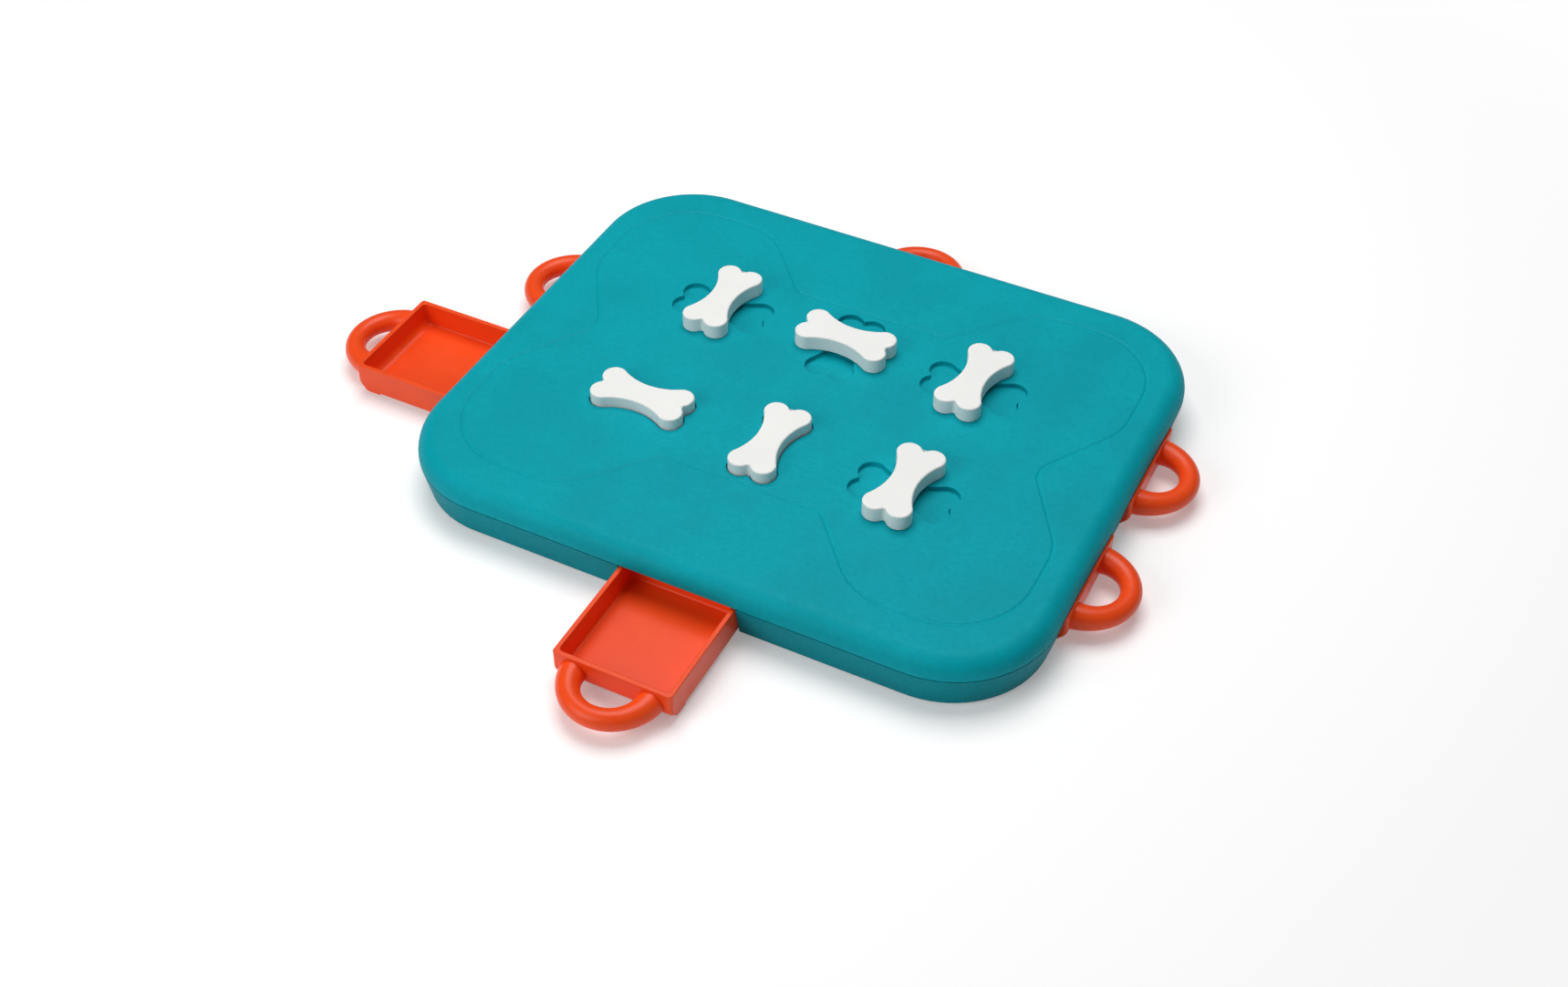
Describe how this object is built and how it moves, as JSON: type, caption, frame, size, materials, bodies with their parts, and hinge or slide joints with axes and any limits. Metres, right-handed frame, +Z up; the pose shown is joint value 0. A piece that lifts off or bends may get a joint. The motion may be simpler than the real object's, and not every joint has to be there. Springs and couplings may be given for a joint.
{
  "type": "dog puzzle feeder toy",
  "caption": "Rounded treat board with pull-out drawers that have loop handles, each locked by a bone on a stem that turns and drops into a bone-shaped recess.",
  "frame": {"origin": "on the surface it stands on, under the centre foot and the middle of the board", "axes": "+Z up, +X to the right along the board's long side, -Y to the front"},
  "size_m": [0.4294, 0.3734, 0.0378],
  "materials": {
    "cover_composite": "matt teal wood-plastic composite with fine mottling",
    "tray_composite": "matt teal wood-plastic composite with fine mottling",
    "drawer_plastic": "satin orange-red moulded plastic",
    "bone_plastic": "satin white moulded plastic",
    "cam_plastic": "off-white acetal",
    "screw_steel": "plated steel",
    "foot_rubber": "matt black rubber"
  },
  "bodies": {
    "board": {"base_tray": "tray_composite", "top_cover": "cover_composite", "cover_screws": "screw_steel", "foot_centre": "foot_rubber", "foot_front_left": "foot_rubber", "foot_front_right": "foot_rubber", "foot_back_left": "foot_rubber", "foot_back_right": "foot_rubber"},
    "drawer_front": {"drawer_front": "drawer_plastic"},
    "drawer_back": {"drawer_back": "drawer_plastic"},
    "drawer_left_front": {"drawer_left_front": "drawer_plastic"},
    "drawer_left_back": {"drawer_left_back": "drawer_plastic"},
    "drawer_right_front": {"drawer_right_front": "drawer_plastic"},
    "drawer_right_back": {"drawer_right_back": "drawer_plastic"},
    "lock_left_back": {"bone_left_back": "bone_plastic", "cam_left_back": "cam_plastic", "cam_screw_left_back": "screw_steel"},
    "lock_middle_back": {"bone_middle_back": "bone_plastic", "cam_middle_back": "cam_plastic", "cam_screw_middle_back": "screw_steel"},
    "lock_right_back": {"bone_right_back": "bone_plastic", "cam_right_back": "cam_plastic", "cam_screw_right_back": "screw_steel"},
    "lock_left_front": {"bone_left_front": "bone_plastic", "cam_left_front": "cam_plastic", "cam_screw_left_front": "screw_steel"},
    "lock_middle_front": {"bone_middle_front": "bone_plastic", "cam_middle_front": "cam_plastic", "cam_screw_middle_front": "screw_steel"},
    "lock_right_front": {"bone_right_front": "bone_plastic", "cam_right_front": "cam_plastic", "cam_screw_right_front": "screw_steel"}
  },
  "joints": [
    {"name": "slide_front", "type": "slide", "parent": "board", "child": "drawer_front", "axis": [0, -1, 0], "range_m": [-0.056, 0]},
    {"name": "slide_back", "type": "slide", "parent": "board", "child": "drawer_back", "axis": [0, 1, 0], "range_m": [0, 0.056]},
    {"name": "slide_left_front", "type": "slide", "parent": "board", "child": "drawer_left_front", "axis": [-1, 0, 0], "range_m": [-0.056, 0]},
    {"name": "slide_left_back", "type": "slide", "parent": "board", "child": "drawer_left_back", "axis": [-1, 0, 0], "range_m": [0, 0.056]},
    {"name": "slide_right_front", "type": "slide", "parent": "board", "child": "drawer_right_front", "axis": [1, 0, 0], "range_m": [0, 0.056]},
    {"name": "slide_right_back", "type": "slide", "parent": "board", "child": "drawer_right_back", "axis": [1, 0, 0], "range_m": [0, 0.056]},
    {"name": "turn_left_back", "type": "hinge", "parent": "board", "child": "lock_left_back", "pos_m": [-0.0694, 0.0414, 0.0296], "axis": [0, 0, 1], "range_deg": [-90, 90]},
    {"name": "turn_middle_back", "type": "hinge", "parent": "board", "child": "lock_middle_back", "pos_m": [0, 0.0414, 0.0296], "axis": [0, 0, 1], "range_deg": [-90, 90]},
    {"name": "turn_right_back", "type": "hinge", "parent": "board", "child": "lock_right_back", "pos_m": [0.0694, 0.0414, 0.0296], "axis": [0, 0, 1], "range_deg": [-90, 90]},
    {"name": "lift_left_front", "type": "slide", "parent": "board", "child": "lock_left_front", "axis": [0, 0, 1], "range_m": [0, 0.0025]},
    {"name": "lift_middle_front", "type": "slide", "parent": "board", "child": "lock_middle_front", "axis": [0, 0, 1], "range_m": [0, 0.0025]},
    {"name": "turn_right_front", "type": "hinge", "parent": "board", "child": "lock_right_front", "pos_m": [0.0694, -0.0414, 0.0296], "axis": [0, 0, 1], "range_deg": [-90, 90]}
  ]
}
